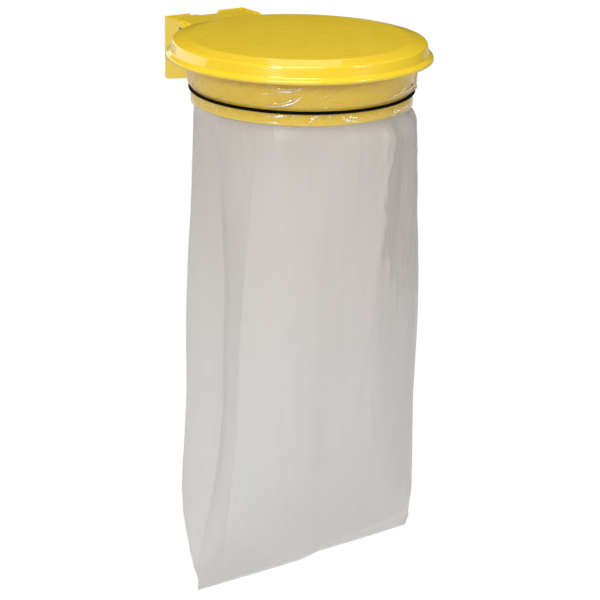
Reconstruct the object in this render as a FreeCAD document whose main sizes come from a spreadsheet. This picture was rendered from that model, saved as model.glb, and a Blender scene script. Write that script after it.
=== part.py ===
import FreeCAD, Part
import math
import os
import re

import Sketcher

# Wall-mounted holder for a refuse bag: a folded steel bracket, a steel band that holds the bag's mouth,
# a rubber cord round the band, and a pressed steel lid that hinges up toward the wall.
# Millimetres. The wall is the plane y = 0, the holder reaches out along -y, z is up, and z = 0 is
# the level of the lid's lower rim.

SIZES = {
    # Wall bracket: one folded sheet with a back plate, two cheeks and two arms to the band
    "bracket_width": 158.0,
    "bracket_height": 104.5,
    "bracket_top": 20.0,
    "bracket_sheet": 2.0,
    "bend_radius": 1.0,
    "heel_length": 14.0,
    "toe_reach": 72.0,
    "arm_height": 15.0,
    "cheek_drop": 12.0,
    "cheek_slope": 24.0,
    "cord_room": 17.0,
    "notch_width": 58.0,
    "notch_depth": 9.0,
    "notch_draft": 3.0,
    "screw_bore": 7.0,
    "screw_span": 100.0,
    "screw_rise": 52.0,
    "screw_edge": 16.0,
    # Hinge
    "hinge_reach": 51.0,
    "knuckle_radius": 15.0,
    "pin_diameter": 6.0,
    "pin_head": 10.0,
    "pin_dome": 2.6,
    "pin_tail": 3.0,
    "pin_clearance": 0.08,
    "washer_diameter": 15.0,
    "washer_thickness": 1.5,
    "clip_diameter": 12.0,
    "clip_thickness": 1.2,
    "clip_dish": 2.4,
    # Lid arm: a pressed channel, open below
    "arm_sheet": 2.0,
    "arm_drop": 1.5,
    "arm_bend": 10.0,
    "arm_setback": 7.0,
    "arm_boss": 14.0,
    "arm_flare": 5.0,
    "arm_clearance": 1.5,
    "flare_start": 68.0,
    "cutout_width": 44.0,
    "cutout_front": 32.0,
    "cutout_depth": 9.0,
    # Lid
    "hinge_gap": 21.0,
    "lid_setback": 8.0,
    "lid_sheet": 1.2,
    "skirt_clearance": 23.8,
    "lip_run": 14.0,
    "bevel_run": 25.0,
    "shoulder_height": 25.5,
    "shoulder_radius": 5.0,
    "crown_height": 30.5,
    "crown_rise": 1.5,
    "crown_blend": 25.0,
    "lip_height": 9.5,
    "lip_radius": 4.5,
    "neck_radius": 3.5,
    # Band that holds the bag's mouth
    "band_diameter": 350.0,
    "band_sheet": 1.5,
    "band_bottom": 72.0,
    "band_curl": 4.0,
    # Rubber cord round the band
    "cord_thickness": 5.2,
    "cord_level": 49.5,
    # Bag: thin film, modelled thicker than it is so that it stays a sound solid
    "film_wall": 0.8,
    "seat_gap": 0.3,
    "cuff_rear": 55.5,
    "bag_bottom": 888.0,
    "seam_height": 3.2,
    "bag_width": 440.0,
    "gusset_depth": 30.0,
    "fold_depth": 6.0,
    "bag_swell": 13.0,
    "bag_lean_right": 18.0,
    "bag_lean_out": 13.0,
    # How far a cutting profile runs past the metal
    "cut_margin": 20.0,
}

doc = FreeCAD.newDocument("WallBagHolder")
sheet = doc.addObject("Spreadsheet::Sheet", "Sizes")
for row, (alias, size) in enumerate(SIZES.items(), 1):
    sheet.set("A%d" % row, alias)
    sheet.set("B%d" % row, str(size))
    sheet.setAlias("B%d" % row, alias)
doc.recompute()

# Derived places, as expressions of the sizes
BAND_RADIUS = "band_diameter/2"
SKIRT_RADIUS = "(band_diameter/2 + skirt_clearance + lid_sheet)"
LID_RADIUS = "(" + SKIRT_RADIUS + " + lip_run)"
CROWN_RADIUS = "(" + SKIRT_RADIUS + " - bevel_run)"
LID_REACH = "(hinge_reach + hinge_gap + " + LID_RADIUS + ")"
BAND_REACH = "(" + LID_REACH + " + lid_setback)"
SEAT_DROP = "lid_setback*(crown_height - shoulder_height)/bevel_run"
BAND_TOP = "(crown_height - lid_sheet - film_wall - 2*seat_gap - " + SEAT_DROP + ")"
CUFF_INNER = "(band_diameter/2 + seat_gap)"
PIN_LEVEL = "(bracket_top - knuckle_radius)"
ARM_TOP = "(bracket_top - arm_drop)"
ARM_HALF = "(bracket_width/2 - bracket_sheet - washer_thickness)"
ARM_UNDERSIDE = "(lip_height + arm_clearance)"
CHEEK_FACE = "(bracket_width/2)"
CUFF_RISE_START = "-band_diameter/4"
CUFF_RISE_END = "band_diameter/8"

# Half the length of a cut that goes right through a piece, and how near an edge is to its nominal place
FAR = 600.0
NEAR = 0.05


def size(alias):
    return float(sheet.get(alias))


def bound(text):
    """The expression with every size named by its cell in the sheet."""
    return re.sub(r"\b[a-z]+_[a-z_]+\b", r"Sizes.\g<0>", text)


def bind(item, **places):
    for name, text in places.items():
        item.setExpression(name.replace("_at_", "."), bound(text))


def amount(item, text):
    """The present value of an expression of the sizes."""
    found = item.evalExpression(bound(text))
    return float(getattr(found, "Value", found))


def new_body(label):
    body = doc.addObject("PartDesign::Body", label)
    body.Label = label
    return body


def origin_part(body, role):
    return [part for part in body.Origin.OriginFeatures if part.Role == role][0]


def arc_centre(start, end, radius, side):
    """Centre of the arc from start to end: side 1 puts it on the left of the chord, -1 on the right."""
    chord_x = end[0] - start[0]
    chord_y = end[1] - start[1]
    chord = math.hypot(chord_x, chord_y)
    height = math.sqrt(max(0.0, radius * radius - chord * chord / 4))
    return ((start[0] + end[0]) / 2 - side * height * chord_y / chord,
            (start[1] + end[1]) / 2 + side * height * chord_x / chord)


def add_sketch(body, role, name, lift=None):
    sketch = body.newObject("Sketcher::SketchObject", name)
    sketch.AttachmentSupport = [(origin_part(body, role), "")]
    sketch.MapMode = "FlatFace"
    if lift:
        sketch.setExpression("AttachmentOffset.Base.z", bound(lift))
    return sketch


def add_outline(sketch, corners):
    """Closed outline. A corner is (x, y) as expressions, or (x, y, radius, side) where an arc follows it."""
    places = [(amount(sketch, corner[0]), amount(sketch, corner[1])) for corner in corners]
    ends = []
    for index, corner in enumerate(corners):
        start = places[index]
        end = places[(index + 1) % len(corners)]
        if len(corner) == 2:
            line = Part.LineSegment(FreeCAD.Vector(*start, 0), FreeCAD.Vector(*end, 0))
            ends.append((sketch.addGeometry(line), 1, 2))
            continue
        radius = amount(sketch, corner[2])
        side = corner[3]
        centre = arc_centre(start, end, radius, side)
        first, last = (start, end) if side > 0 else (end, start)
        angles = [math.atan2(place[1] - centre[1], place[0] - centre[0]) for place in (first, last)]
        circle = Part.Circle(FreeCAD.Vector(*centre, 0), FreeCAD.Vector(0, 0, 1), radius)
        arc = sketch.addGeometry(Part.ArcOfCircle(circle, angles[0], angles[1]))
        ends.append((arc, 1, 2) if side > 0 else (arc, 2, 1))
        number = sketch.addConstraint(Sketcher.Constraint("Radius", arc, radius))
        sketch.setExpression("Constraints[%d]" % number, bound(corner[2]))
    for index, (edge, first, last) in enumerate(ends):
        follower = ends[(index + 1) % len(ends)]
        sketch.addConstraint(Sketcher.Constraint("Coincident", edge, last, follower[0], follower[1]))
        for kind, text, place in zip(("DistanceX", "DistanceY"), corners[index], places[index]):
            number = sketch.addConstraint(Sketcher.Constraint(kind, -1, 1, edge, first, place))
            sketch.setExpression("Constraints[%d]" % number, bound(text))


def add_circle(sketch, x, y, radius):
    centre = (amount(sketch, x), amount(sketch, y))
    circle = Part.Circle(FreeCAD.Vector(*centre, 0), FreeCAD.Vector(0, 0, 1), amount(sketch, radius))
    edge = sketch.addGeometry(circle)
    constraints = [("DistanceX", -1, 1, edge, 3, centre[0]), ("DistanceY", -1, 1, edge, 3, centre[1]),
                   ("Radius", edge, amount(sketch, radius))]
    for text, terms in zip((x, y, radius), constraints):
        number = sketch.addConstraint(Sketcher.Constraint(*terms))
        sketch.setExpression("Constraints[%d]" % number, bound(text))


def revolve(body, name, corners, axis_role="Z_Axis"):
    sketch = add_sketch(body, "XZ_Plane", name + "Profile")
    add_outline(sketch, corners)
    turned = body.newObject("PartDesign::Revolution", name)
    turned.Profile = sketch
    turned.ReferenceAxis = (origin_part(body, axis_role), [""])
    turned.Angle = 360.0
    doc.recompute()
    return turned


def pad(body, name, corners, length, lift):
    sketch = add_sketch(body, "XY_Plane", name + "Profile", lift)
    add_outline(sketch, corners)
    raised = body.newObject("PartDesign::Pad", name)
    raised.Profile = sketch
    bind(raised, Length=length)
    doc.recompute()
    return raised


def cut(body, name, sketch, length=None, upward=False):
    """Pocket both ways from its sketch, or one way when a length is given."""
    before = body.Shape.Volume
    pocket = body.newObject("PartDesign::Pocket", name)
    pocket.Profile = sketch
    if length is None:
        pocket.Midplane = True
        pocket.Length = 2 * FAR
    else:
        bind(pocket, Length=length)
        pocket.Reversed = upward
    doc.recompute()
    if body.Shape.Volume > before - 0.01:
        raise RuntimeError(name + " cuts nothing")
    return pocket


def circle_edges(shape, radius, level):
    """Names of the round edges of this radius at this height."""
    names = []
    for number, edge in enumerate(shape.Edges, 1):
        if edge.Degenerated or not isinstance(edge.Curve, Part.Circle):
            continue
        curve = edge.Curve
        if abs(curve.Radius - radius) < NEAR and abs(curve.Center.z - level) < NEAR:
            names.append("Edge%d" % number)
    return names


def straight_edges(shape, wanted):
    """Names of the straight edges that stay on one side of x = 0 and whose two ends satisfy the test."""
    names = []
    for number, edge in enumerate(shape.Edges, 1):
        ends = [vertex.Point for vertex in edge.Vertexes]
        if len(ends) != 2 or not isinstance(edge.Curve, Part.Line) or ends[0].x * ends[1].x <= 0:
            continue
        if all(wanted(end) for end in ends):
            names.append("Edge%d" % number)
    return names


def fillet(body, name, edges, radius):
    base = body.Tip
    rounded = body.newObject("PartDesign::Fillet", name)
    rounded.Base = (base, edges)
    bind(rounded, Radius=radius)
    doc.recompute()
    return rounded


def build_wall_bracket():
    """Back plate and cheeks folded from one sheet, with the cheeks drawn out to two arms."""
    body = new_body("wall_bracket")
    half = "bracket_width/2"
    inner = "(bracket_width/2 - bracket_sheet)"
    front = "-" + BAND_REACH
    plan = [("-" + half, "0"), (half, "0"), (half, front), (inner, front), (inner, "-bracket_sheet"),
            ("-" + inner, "-bracket_sheet"), ("-" + inner, front), ("-" + half, front)]
    pad(body, "FoldedSheet", plan, "bracket_height", "bracket_top - bracket_height")

    def at_fold(depth):
        reach = size("bracket_width") / 2 - depth
        return straight_edges(body.Shape, lambda p: abs(abs(p.x) - reach) < NEAR and abs(p.y + depth) < NEAR)

    fillet(body, "InnerFolds", at_fold(size("bracket_sheet")), "bend_radius")
    fillet(body, "OuterFolds", at_fold(0.0), "bend_radius + bracket_sheet")

    above = "(bracket_top + cut_margin)"
    ahead = "(-" + BAND_REACH + " - cut_margin)"
    over = add_sketch(body, "YZ_Plane", "CheekTop")
    foot = "(%s - cheek_drop)" % PIN_LEVEL
    add_outline(over, [
        ("-hinge_reach", "bracket_top", "knuckle_radius", 1),
        ("-hinge_reach - knuckle_radius", PIN_LEVEL),
        ("-hinge_reach - knuckle_radius", foot),
        ("-" + BAND_REACH + " + " + BAND_RADIUS, foot + " - cheek_slope"),
        (ahead, foot + " - cheek_slope"),
        (ahead, above),
        ("-hinge_reach", above)])
    cut(body, "CheekTopCut", over)

    below = "(bracket_top - bracket_height - cut_margin)"
    under = add_sketch(body, "YZ_Plane", "CheekFoot")
    add_outline(under, [
        ("-heel_length", "bracket_top - bracket_height"),
        ("-heel_length", below),
        (ahead, below),
        (ahead, "-band_bottom"),
        ("-toe_reach", "-band_bottom")])
    cut(body, "CheekFootCut", under)

    seat = add_sketch(body, "XY_Plane", "BandSeat")
    add_circle(seat, "0", "-" + BAND_REACH, BAND_RADIUS)
    cut(body, "BandSeatCut", seat)
    room = add_sketch(body, "XY_Plane", "CordRoom", "arm_height - band_bottom")
    add_circle(room, "0", "-" + BAND_REACH, BAND_RADIUS + " + cord_room")
    cut(body, "CordRoomCut", room, "bracket_height", upward=True)

    notch = add_sketch(body, "XZ_Plane", "TopNotch")
    add_outline(notch, [
        ("-notch_width/2", "bracket_top + cut_margin"),
        ("-notch_width/2", "bracket_top"),
        ("-notch_width/2 + notch_draft", "bracket_top - notch_depth"),
        ("notch_width/2 - notch_draft", "bracket_top - notch_depth"),
        ("notch_width/2", "bracket_top"),
        ("notch_width/2", "bracket_top + cut_margin")])
    through_plate = cut(body, "TopNotchCut", notch)
    bind(through_plate, Length="cut_margin")

    screws = add_sketch(body, "XZ_Plane", "ScrewHoles")
    lowest = "(bracket_top - bracket_height + screw_edge)"
    for across in ("-screw_span/2", "screw_span/2"):
        for up in (lowest, lowest + " + screw_rise"):
            add_circle(screws, across, up, "screw_bore/2")
    holes = cut(body, "ScrewHolesCut", screws)
    bind(holes, Length="cut_margin")

    bore = add_sketch(body, "YZ_Plane", "PinHoles")
    add_circle(bore, "-hinge_reach", PIN_LEVEL, "pin_diameter/2")
    cut(body, "PinHolesCut", bore)
    return body


def build_support_band():
    """Rolled band with both edges curled inward."""
    body = new_body("support_band")
    bind(body, Placement_at_Base_at_y="-" + BAND_REACH)
    outside = BAND_RADIUS
    inside = "band_diameter/2 - band_sheet"
    middle = "band_diameter/2 - band_curl"
    hem = "band_diameter/2 - 2*band_curl"
    low = "band_curl - band_bottom"
    high = BAND_TOP + " - band_curl"
    inner_curl = "band_curl - band_sheet"
    revolve(body, "Band", [
        (outside, low),
        (outside, high, "band_curl", 1),
        (middle, BAND_TOP, "band_curl", 1),
        (hem, high),
        (hem + " + band_sheet", high, inner_curl, -1),
        (middle, BAND_TOP + " - band_sheet", inner_curl, -1),
        (inside, high),
        (inside, low, inner_curl, -1),
        (middle, "band_sheet - band_bottom", inner_curl, -1),
        (hem + " + band_sheet", low),
        (hem, low, "band_curl", 1),
        (middle, "-band_bottom", "band_curl", 1)])
    return body


def build_lid_shell():
    """Pressed lid: slightly domed crown, bevelled shoulder, skirt and a flared lip."""
    body = new_body("lid_shell")
    bind(body, Placement_at_Base_at_y="-" + LID_REACH)
    crown = CROWN_RADIUS
    skirt = SKIRT_RADIUS
    lip = LID_RADIUS
    dome = "(%s*%s + crown_rise*crown_rise)/(2*crown_rise)" % (crown, crown)
    revolve(body, "Pressing", [
        ("0", "crown_height + crown_rise - lid_sheet", dome, -1),
        (crown, "crown_height - lid_sheet"),
        (skirt + " - lid_sheet", "shoulder_height - lid_sheet"),
        (skirt + " - lid_sheet", "lip_height - lid_sheet"),
        (lip + " - lid_sheet", "lip_height - lid_sheet"),
        (lip + " - lid_sheet", "0"),
        (lip, "0"),
        (lip, "lip_height"),
        (skirt, "lip_height"),
        (skirt, "shoulder_height"),
        (crown, "crown_height", dome, 1),
        ("0", "crown_height + crown_rise")])
    sheet_size = size("lid_sheet")
    lip_level = size("lip_height")
    shoulder = size("shoulder_height")
    skirt_out = amount(body, SKIRT_RADIUS)
    lip_out = amount(body, LID_RADIUS)
    crown_out = amount(body, CROWN_RADIUS)
    rounds = [
        ("Shoulder", skirt_out, shoulder, "shoulder_radius"),
        ("ShoulderInside", skirt_out - sheet_size, shoulder - sheet_size, "shoulder_radius - lid_sheet"),
        ("Neck", skirt_out, lip_level, "neck_radius"),
        ("NeckInside", skirt_out - sheet_size, lip_level - sheet_size, "neck_radius + lid_sheet"),
        ("Lip", lip_out, lip_level, "lip_radius"),
        ("LipInside", lip_out - sheet_size, lip_level - sheet_size, "lip_radius - lid_sheet"),
        ("Crown", crown_out, size("crown_height"), "crown_blend"),
        ("CrownInside", crown_out, size("crown_height") - sheet_size, "crown_blend")]
    for name, radius, level, blend in rounds:
        fillet(body, name, circle_edges(body.Shape, radius, level), blend)
    return body


def build_lid_arm():
    """Pressed channel from the hinge to the back of the lid, open below, flared toward the lid."""
    body = new_body("lid_arm")
    back = "-arm_setback"
    bend = "-flare_start"
    front = "-" + LID_REACH + " + " + CROWN_RADIUS
    wide = "(" + ARM_HALF + " + arm_flare)"
    underside = "(" + ARM_TOP + " - arm_sheet)"
    bottom = "(" + PIN_LEVEL + " - arm_boss - cut_margin)"
    plan = [(ARM_HALF, back), (ARM_HALF, bend), (wide, front), ("-" + wide, front),
            ("-" + ARM_HALF, bend), ("-" + ARM_HALF, back)]
    pad(body, "Channel", plan[::-1], "(" + ARM_TOP + " - " + bottom + ")", bottom)
    top = amount(body, ARM_TOP)
    half = amount(body, ARM_HALF)

    def long_edges(level, reach):
        return straight_edges(body.Shape, lambda p: abs(p.z - level) < NEAR and abs(p.x) > reach - NEAR)

    skin_x = "(%s - arm_sheet)"
    inner_half = skin_x % ARM_HALF
    inner_wide = skin_x % wide
    hollow = add_sketch(body, "XY_Plane", "Hollow", underside)
    add_outline(hollow, [
        (inner_half, "cut_margin"),
        ("-" + inner_half, "cut_margin"),
        ("-" + inner_half, bend),
        ("-" + inner_wide, front),
        ("-" + inner_wide, front + " - cut_margin"),
        (inner_wide, front + " - cut_margin"),
        (inner_wide, front),
        (inner_half, bend)])
    cut(body, "HollowCut", hollow, underside + " - " + bottom + " + cut_margin")
    arm_sheet = size("arm_sheet")
    fillet(body, "InnerBends", long_edges(top - arm_sheet, half - arm_sheet), "arm_bend - arm_sheet")
    fillet(body, "OuterBends", long_edges(top, half), "arm_bend")

    side = add_sketch(body, "YZ_Plane", "SideOutline")
    deep = bottom + " - cut_margin"
    add_outline(side, [
        ("cut_margin", PIN_LEVEL + " + arm_drop"),
        ("cut_margin", deep),
        (front + " - cut_margin", deep),
        (front + " - cut_margin", ARM_UNDERSIDE),
        (bend, ARM_UNDERSIDE),
        ("-hinge_reach - arm_boss", PIN_LEVEL, "arm_boss", 1),
        ("-hinge_reach", PIN_LEVEL + " - arm_boss", "arm_boss", 1),
        ("-hinge_reach + arm_boss", PIN_LEVEL)])
    cut(body, "SideOutlineCut", side)

    weld = add_sketch(body, "XY_Plane", "SkirtSeat")
    add_circle(weld, "0", "-" + LID_REACH, SKIRT_RADIUS)
    cut(body, "SkirtSeatCut", weld)

    cutout = add_sketch(body, "XY_Plane", "RearCutout")
    add_outline(cutout, [
        ("cutout_width/2", "cut_margin"),
        ("-cutout_width/2", "cut_margin"),
        ("-cutout_width/2", back),
        ("-cutout_front/2", "-arm_setback - cutout_depth"),
        ("cutout_front/2", "-arm_setback - cutout_depth"),
        ("cutout_width/2", back)])
    cut(body, "RearCutoutCut", cutout)

    bore = add_sketch(body, "YZ_Plane", "PinHoles")
    add_circle(bore, "-hinge_reach", PIN_LEVEL, "pin_diameter/2 + pin_clearance")
    cut(body, "PinHolesCut", bore)
    return body


def place_on_pin(item, across):
    bind(item, Placement_at_Base_at_x=across, Placement_at_Base_at_y="-hinge_reach",
         Placement_at_Base_at_z=PIN_LEVEL)


def build_hinge_pin():
    """Pin with a domed head on the left and a plain tail that takes the clip."""
    body = new_body("hinge_pin")
    place_on_pin(body, "0")
    shank = "pin_diameter/2"
    tail = "bracket_width/2 + clip_thickness + pin_tail"
    face = "-" + CHEEK_FACE
    crown = "(pin_head*pin_head/4 + pin_dome*pin_dome)/(2*pin_dome)"
    revolve(body, "Pin", [
        (face, shank),
        (face, "pin_head/2", crown, 1),
        (face + " - pin_dome", "0"),
        (tail, "0"),
        (tail, shank)], "X_Axis")
    return body


def build_washer(label, across):
    """Plain washer that fills the gap between a cheek and the arm."""
    body = new_body(label)
    place_on_pin(body, across)
    hole = "pin_diameter/2 + pin_clearance"
    revolve(body, "Washer", [
        ("0", hole),
        ("washer_thickness", hole),
        ("washer_thickness", "washer_diameter/2"),
        ("0", "washer_diameter/2")], "X_Axis")
    return body


def build_hinge_clip():
    """Push-on retaining ring, dished so that its bore grips the pin away from the cheek."""
    body = new_body("hinge_clip")
    place_on_pin(body, CHEEK_FACE)
    revolve(body, "Clip", [
        ("0", "clip_diameter/2"),
        ("clip_thickness/2", "clip_diameter/2"),
        ("clip_dish", "pin_diameter/2 + clip_thickness/2"),
        ("clip_dish", "pin_diameter/2"),
        ("clip_dish - clip_thickness/2", "pin_diameter/2"),
        ("0", "clip_diameter/2 - clip_thickness")], "X_Axis")
    return body


def build_elastic_cord():
    cord = doc.addObject("Part::Torus", "elastic_cord")
    cord.Label = "elastic_cord"
    bind(cord, Radius1=CUFF_INNER + " + film_wall + seat_gap + cord_thickness/2",
         Radius2="cord_thickness/2", Placement_at_Base_at_y="-" + BAND_REACH,
         Placement_at_Base_at_z="-cord_level")
    return cord


def build_bag_cuff():
    """The bag's mouth: up inside the band, over its top edge and down outside, under the cord."""
    body = new_body("BagCuff")
    bind(body, Placement_at_Base_at_y="-" + BAND_REACH)
    outer = "(" + CUFF_INNER + " + film_wall)"
    middle = "(band_diameter/2 - band_curl)"
    near = "(band_curl + seat_gap)"
    far = "(band_curl + seat_gap + film_wall)"
    level = "(" + BAND_TOP + " - band_curl)"
    throat = "-band_bottom + band_curl"
    revolve(body, "Cuff", [
        (outer, "-band_bottom + seat_gap"),
        (outer, level, far, 1),
        (middle, level + " + " + far, far, 1),
        (middle + " - " + far, level),
        (middle + " - " + far, throat),
        (middle + " - " + near, throat),
        (middle + " - " + near, level, near, -1),
        (middle, level + " + " + near, near, -1),
        (CUFF_INNER, level),
        (CUFF_INNER, "-band_bottom + seat_gap")])
    edge = add_sketch(body, "YZ_Plane", "CuffEdge")
    deep = "-band_bottom - cut_margin"
    add_outline(edge, [
        (CUFF_RISE_START, deep),
        (CUFF_RISE_START, "-band_bottom"),
        (CUFF_RISE_END, "-cuff_rear"),
        ("band_diameter", "-cuff_rear"),
        ("band_diameter", deep)])
    lower = body.newObject("PartDesign::Pocket", "CuffEdgeCut")
    lower.Profile = edge
    lower.Midplane = True
    lower.Length = 2 * FAR
    doc.recompute()
    return body


# The hanging bag, from the band down to the bottom seam. Each row: share of the drop, share of the
# swell below the band, how far it has widened from that to the bag's width, share of the depth that is
# still open, squareness, share of the gusset's depth, share of the lean.
BAG_CORNERS = 72
BAG_STATIONS = [
    (0.002, 0.00, 0.000, 1.000, 2.00, 0.00, 0.00),
    (0.012, 0.50, 0.000, 1.000, 2.00, 0.00, 0.05),
    (0.028, 1.00, 0.018, 0.997, 2.00, 0.07, 0.23),
    (0.065, 1.00, 0.052, 1.003, 2.05, 0.20, 0.31),
    (0.132, 1.00, 0.101, 0.972, 2.15, 0.47, 0.36),
    (0.230, 1.00, 0.117, 0.942, 2.30, 0.73, 0.39),
    (0.353, 1.00, 0.223, 0.903, 2.45, 1.00, 0.41),
    (0.488, 1.00, 0.297, 0.852, 2.60, 1.00, 0.37),
    (0.623, 1.00, 0.319, 0.797, 2.75, 1.00, 0.36),
    (0.733, 1.00, 0.534, 0.741, 2.80, 1.00, 0.33),
    (0.819, 1.00, 0.796, 0.657, 2.75, 0.93, 0.36),
    (0.892, 1.00, 1.093, 0.501, 2.60, 0.70, 0.57),
    (0.947, 1.00, 1.184, 0.290, 2.40, 0.30, 0.88),
    (0.978, 1.00, 1.085, 0.123, 2.20, 0.05, 1.13),
    (1.000, 1.00, 1.000, 0.011, 2.00, 0.00, 1.00)]

# Folds of the surplus film. Each row: degrees round the bag from the right side, how far it moves round
# on its way down, half its width in degrees, share of the fold depth (negative is a hollow), and the
# shares of the drop where it is fully formed and where it has run out.
BAG_FOLDS = [
    (176.0, 45.0, 5.0, -0.6, 0.03, 0.17),
    (191.0, -48.0, 5.0, -0.7, 0.03, 0.17),
    (-118.0, 0.0, 9.0, -0.4, 0.06, 0.85),
    (-76.0, -12.0, 5.5, 0.6, 0.02, 0.34),
    (-64.0, -8.0, 6.5, -0.9, 0.02, 0.38),
    (-52.0, 0.0, 6.0, 0.5, 0.03, 0.32),
    (-38.0, 10.0, 6.0, -0.5, 0.03, 0.30),
    (-96.0, 32.0, 8.0, 0.5, 0.30, 0.85),
    (28.0, 6.0, 7.0, -0.5, 0.03, 0.30),
    (66.0, 8.0, 9.0, -0.5, 0.03, 0.40),
    (112.0, 6.0, 9.0, -0.5, 0.03, 0.36),
    (150.0, -6.0, 7.0, -0.5, 0.03, 0.30)]


def fold_height(degrees, share):
    """How far the film stands out from its smooth section, at this angle and share of the drop."""
    height = 0.0
    for centre, drift, half_width, part, formed, ended in BAG_FOLDS:
        away = (degrees - centre - drift * share + 180.0) % 360.0 - 180.0
        strength = min(1.0, share / formed) * max(0.0, 1.0 - (share / ended) ** 2)
        height += part * strength * math.exp(-(away / half_width) ** 2)
    return height * size("fold_depth")


def bag_section(level, half_x, half_y, squareness, gusset, share, lean):
    """Corners of one section of the bag: a rounded box with its folds and a gusset on each side.
    The lean is how far the section has moved from under the band, as a share of the whole lean."""
    right = lean * size("bag_lean_right")
    out = lean * size("bag_lean_out")
    power = 2.0 / squareness
    gusset_span = (0.5 + 0.2 * share ** 4) * half_y
    corners = []
    for step in range(BAG_CORNERS):
        angle = 2 * math.pi * step / BAG_CORNERS
        across = math.cos(angle)
        along = math.sin(angle)
        x = math.copysign(abs(across) ** power, across) * half_x
        y = math.copysign(abs(along) ** power, along) * half_y
        if abs(y) < gusset_span:
            x -= math.copysign(gusset * (1 - abs(y) / gusset_span), across)
        swell = 1 + fold_height(math.degrees(angle), share) / math.hypot(x, y)
        corners.append(FreeCAD.Vector(x * swell + right, y * swell - out, level))
    return corners


def bag_surface(inset, bottom_lift):
    """Sections down one face of the film; the inset makes the inner face from the outer one's sizes.
    They start behind the band's lower curl, inside the turned-over mouth, so that the two are one film."""
    throat = size("band_diameter") / 2 - 2 * size("band_curl") - size("seat_gap")
    throat -= inset + size("film_wall") / 4
    top = 2 * size("band_curl") - size("band_bottom")
    drop = size("bag_bottom") - size("band_bottom")
    sections = [bag_section(top, throat, throat, 2.0, 0.0, 0.0, 0.0)]
    for share, bulge, widened, opened, squareness, gusset, lean in BAG_STATIONS:
        radius = throat + bulge * size("bag_swell")
        half_x = radius + widened * (size("bag_width") / 2 - inset - radius)
        level = -size("band_bottom") - share * drop + (bottom_lift if share == 1.0 else 0.0)
        sections.append(bag_section(level, half_x, radius * opened, squareness,
                                    gusset * size("gusset_depth"), share, lean))
    return sections


def facets_between(upper, lower):
    """Two flat facets for each pair of neighbouring corners of two sections."""
    facets = []
    for step in range(BAG_CORNERS):
        follower = (step + 1) % BAG_CORNERS
        for corners in ((upper[step], lower[step], lower[follower]),
                        (upper[step], lower[follower], upper[follower])):
            facets.append(Part.Face(Part.makePolygon(list(corners) + [corners[0]])))
    return facets


def build_hanging_film():
    """Open-topped bag as a closed skin: outer face, inner face, rim and bottom seam."""
    outside = bag_surface(0.0, 0.0)
    inside = bag_surface(size("film_wall"), size("seam_height"))
    facets = facets_between(inside[0], outside[0])
    for face in (outside, inside):
        for upper, lower in zip(face, face[1:]):
            facets += facets_between(upper, lower)
        facets.append(Part.Face(Part.makePolygon(face[-1] + face[-1][:1])))
    skin = Part.makeShell(facets)
    skin.sewShape()
    solid = Part.Solid(skin)
    hanging = doc.addObject("Part::Feature", "HangingFilm")
    hanging.Shape = solid if solid.Volume > 0 else solid.reversed()
    bind(hanging, Placement_at_Base_at_y="-" + BAND_REACH)
    return hanging


def build_refuse_bag():
    """One film: the hanging bag joined to its turned-over mouth."""
    bag = doc.addObject("Part::Fuse", "refuse_bag")
    bag.Label = "refuse_bag"
    bag.Base = build_bag_cuff()
    bag.Tool = build_hanging_film()
    doc.recompute()
    return bag


def build_all():
    washer_start = "bracket_width/2 - bracket_sheet - washer_thickness"
    return [
        build_wall_bracket(),
        build_support_band(),
        build_lid_shell(),
        build_lid_arm(),
        build_hinge_pin(),
        build_washer("hinge_washer_right", washer_start),
        build_washer("hinge_washer_left", "bracket_sheet - bracket_width/2"),
        build_hinge_clip(),
        build_elastic_cord(),
        build_refuse_bag()]


def main():
    os.makedirs("parts", exist_ok=True)
    pieces = build_all()
    doc.recompute()
    for item in doc.Objects:
        if "Invalid" in item.State or "Error" in item.State:
            raise RuntimeError(item.Name + " is in error")
    for piece in pieces:
        if piece.Shape.isNull() or not piece.Shape.isValid():
            raise RuntimeError(piece.Label + " has no sound shape")
        piece.Shape.exportStep("parts/%s.step" % piece.Label)
        box = piece.Shape.BoundBox
        print("%-20s %d solid(s)  x %.1f..%.1f  y %.1f..%.1f  z %.1f..%.1f  %.0f mm3" % (
            piece.Label, len(piece.Shape.Solids), box.XMin, box.XMax, box.YMin, box.YMax,
            box.ZMin, box.ZMax, piece.Shape.Volume))


main()
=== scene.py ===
import math

import bpy
import numpy as np
from mathutils import Matrix, Vector, noise


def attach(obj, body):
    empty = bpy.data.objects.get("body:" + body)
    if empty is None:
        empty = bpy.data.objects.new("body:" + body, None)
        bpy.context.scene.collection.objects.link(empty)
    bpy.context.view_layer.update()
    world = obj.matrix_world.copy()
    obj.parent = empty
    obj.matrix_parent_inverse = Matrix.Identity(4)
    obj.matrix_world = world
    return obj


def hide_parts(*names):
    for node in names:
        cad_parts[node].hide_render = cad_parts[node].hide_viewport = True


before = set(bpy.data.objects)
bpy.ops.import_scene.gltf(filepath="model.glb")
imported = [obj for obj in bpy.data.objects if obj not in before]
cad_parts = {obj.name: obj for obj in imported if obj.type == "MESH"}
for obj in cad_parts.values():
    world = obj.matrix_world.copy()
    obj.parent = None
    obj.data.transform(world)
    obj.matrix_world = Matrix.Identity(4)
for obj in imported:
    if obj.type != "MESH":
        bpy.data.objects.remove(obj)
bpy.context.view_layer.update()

# Places taken over from the CAD part, in metres
BAND_CENTRE = (0.0, -0.294)
BAND_RADIUS = 0.175
BAND_CURL = 0.004
BAND_TOP = 0.0263
BAND_BOTTOM = -0.072
CORD_LEVEL = -0.0495
LID_CENTRE = Vector((0.0, -0.286, 0.0))
BAG_BOTTOM = -0.888

# The side that the camera looks from, and the angle round the bag, from the right side, that faces it
VIEW_SIDE = math.radians(-35.23)
FACING_ANGLE = VIEW_SIDE - math.pi / 2


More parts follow.
